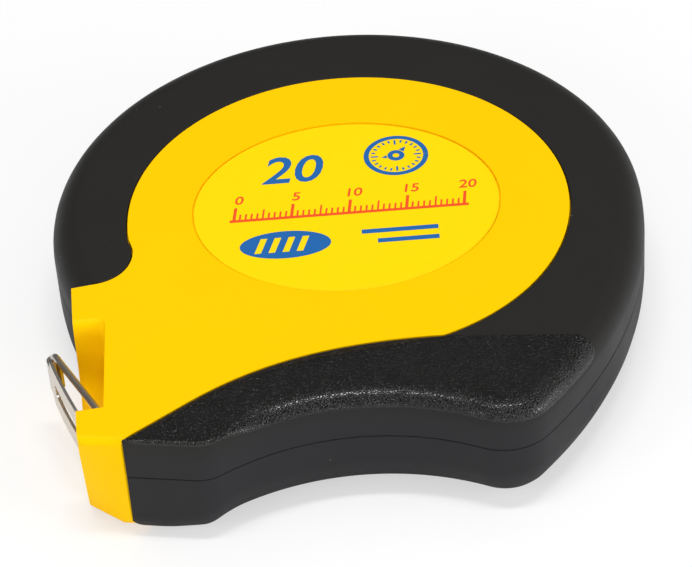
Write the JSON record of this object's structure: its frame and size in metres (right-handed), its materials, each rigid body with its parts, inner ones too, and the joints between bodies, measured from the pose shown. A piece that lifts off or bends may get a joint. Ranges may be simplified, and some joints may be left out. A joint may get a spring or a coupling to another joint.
{
  "type": "tape measure",
  "caption": "Closed-case long steel tape: round case with a finger grip and a slotted nose, a folding wire ring and claw on the blade, a fold-flush crank and a planetary rewind.",
  "frame": {"origin": "middle of the footprint, on the rear face that the case lies on", "axes": "+Z towards the face panel, along the drum axis; +Y from the finger grip towards the round end; the tape leaves towards -X"},
  "size_m": [0.1376, 0.15, 0.028],
  "materials": {
    "yellow_abs": "moulded ABS, satin gloss",
    "black_grip": "overmoulded grip plastic, fine grain on the finger side",
    "printed_label": "printed film",
    "zinc_steel": "zinc plated",
    "grey_pp": "moulded",
    "white_acetal": "moulded",
    "black_abs": "moulded",
    "enamelled_steel": "yellow enamel",
    "nickel_steel": "bright nickel plate"
  },
  "bodies": {
    "case": {"front_shell": "yellow_abs", "rear_shell": "yellow_abs", "front_cover": "black_grip", "rear_cover": "black_grip", "label_plate": "printed_label", "case_screw_1": "zinc_steel", "case_screw_2": "zinc_steel", "case_screw_3": "zinc_steel", "case_screw_4": "zinc_steel", "case_screw_5": "zinc_steel", "axle_pin": "zinc_steel", "ring_gear": "white_acetal", "tape_run": "enamelled_steel"},
    "drum": {"drum": "grey_pp", "drum_front_flange": "grey_pp", "sun_gear": "white_acetal", "tape_coil": "enamelled_steel"},
    "crank": {"carrier": "white_acetal", "planet_pin_1": "zinc_steel", "planet_pin_2": "zinc_steel", "planet_pin_3": "zinc_steel", "crank_arm": "black_abs", "crank_screw": "zinc_steel", "handle_pin": "zinc_steel"},
    "planet_1": {"planet_gear_1": "white_acetal"},
    "planet_2": {"planet_gear_2": "white_acetal"},
    "planet_3": {"planet_gear_3": "white_acetal"},
    "handle": {"fold_handle": "grey_pp"},
    "blade": {"tape_end": "enamelled_steel", "end_clip": "nickel_steel", "clip_rivet_1": "nickel_steel", "clip_rivet_2": "nickel_steel"},
    "ring": {"pull_ring": "nickel_steel"},
    "claw": {"claw_plate": "nickel_steel"}
  },
  "joints": [
    {"name": "drum_spin", "type": "hinge", "parent": "case", "child": "drum", "pos_m": [0.00028, 0.00657, 0.0145], "axis": [0, 0, 1], "continuous": true},
    {"name": "crank_turn", "type": "hinge", "parent": "case", "child": "crank", "pos_m": [0.00028, 0.00657, 0.0095], "axis": [0, 0, 1], "continuous": true},
    {"name": "planet_spin_1", "type": "hinge", "parent": "crank", "child": "planet_1", "pos_m": [0.01378, 0.00657, 0.0145], "axis": [0, 0, 1], "continuous": true},
    {"name": "planet_spin_2", "type": "hinge", "parent": "crank", "child": "planet_2", "pos_m": [-0.00647, 0.01826, 0.0145], "axis": [0, 0, 1], "continuous": true},
    {"name": "planet_spin_3", "type": "hinge", "parent": "crank", "child": "planet_3", "pos_m": [-0.00647, -0.00512, 0.0145], "axis": [0, 0, 1], "continuous": true},
    {"name": "handle_fold", "type": "hinge", "parent": "crank", "child": "handle", "pos_m": [0.03578, 0.00657, 0.0042], "axis": [0, -1, 0], "range_deg": [0, 90]},
    {"name": "tape_pull", "type": "slide", "parent": "case", "child": "blade", "axis": [-0.9582, -0.286, 0], "range_m": [0, 0.055]},
    {"name": "ring_swing", "type": "hinge", "parent": "blade", "child": "ring", "pos_m": [-0.05612, -0.05693, 0.0166], "axis": [0, 0, 1], "range_deg": [-5, 28]},
    {"name": "claw_swing", "type": "hinge", "parent": "ring", "child": "claw", "pos_m": [-0.06713, -0.0356, 0.0166], "axis": [0, 0, -1], "range_deg": [0, 168]}
  ],
  "couplings": [
    {"joint": "crank_turn", "follows": "drum_spin", "ratio": 0.33333},
    {"joint": "planet_spin_1", "follows": "drum_spin", "ratio": -1.3333},
    {"joint": "planet_spin_2", "follows": "drum_spin", "ratio": -1.3333},
    {"joint": "planet_spin_3", "follows": "drum_spin", "ratio": -1.3333}
  ]
}
